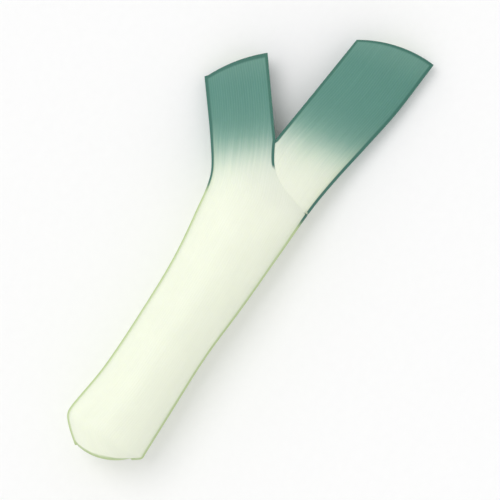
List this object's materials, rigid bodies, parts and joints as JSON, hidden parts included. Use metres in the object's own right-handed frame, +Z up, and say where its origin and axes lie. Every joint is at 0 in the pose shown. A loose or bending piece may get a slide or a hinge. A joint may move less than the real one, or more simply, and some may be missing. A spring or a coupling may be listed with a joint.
{
  "type": "leek",
  "caption": "Trimmed leek lying on its side: a pale shaft of nested leaf sheaths on a root plate, forking into folded green blades cut short.",
  "frame": {"origin": "under the middle of the whole leek, on the surface that it lies on", "axes": "+X up the shaft from the root end to the cut blades, +Y towards the short left blades, +Z up from the surface"},
  "size_m": [0.2824, 0.1014, 0.0446],
  "materials": {
    "leaf": "waxy leaf, cream on the sheath and blue-green on the blade",
    "heart": "satin young leaf, pale yellow-green",
    "root": "matt trimmed root, cream to tan"
  },
  "bodies": {
    "root": {"root_plate": "root", "outer_leaf": "leaf", "second_leaf": "leaf", "third_leaf": "leaf", "fourth_leaf": "leaf", "fifth_leaf": "leaf", "sixth_leaf": "leaf", "heart_leaf": "heart"}
  },
  "joints": []
}
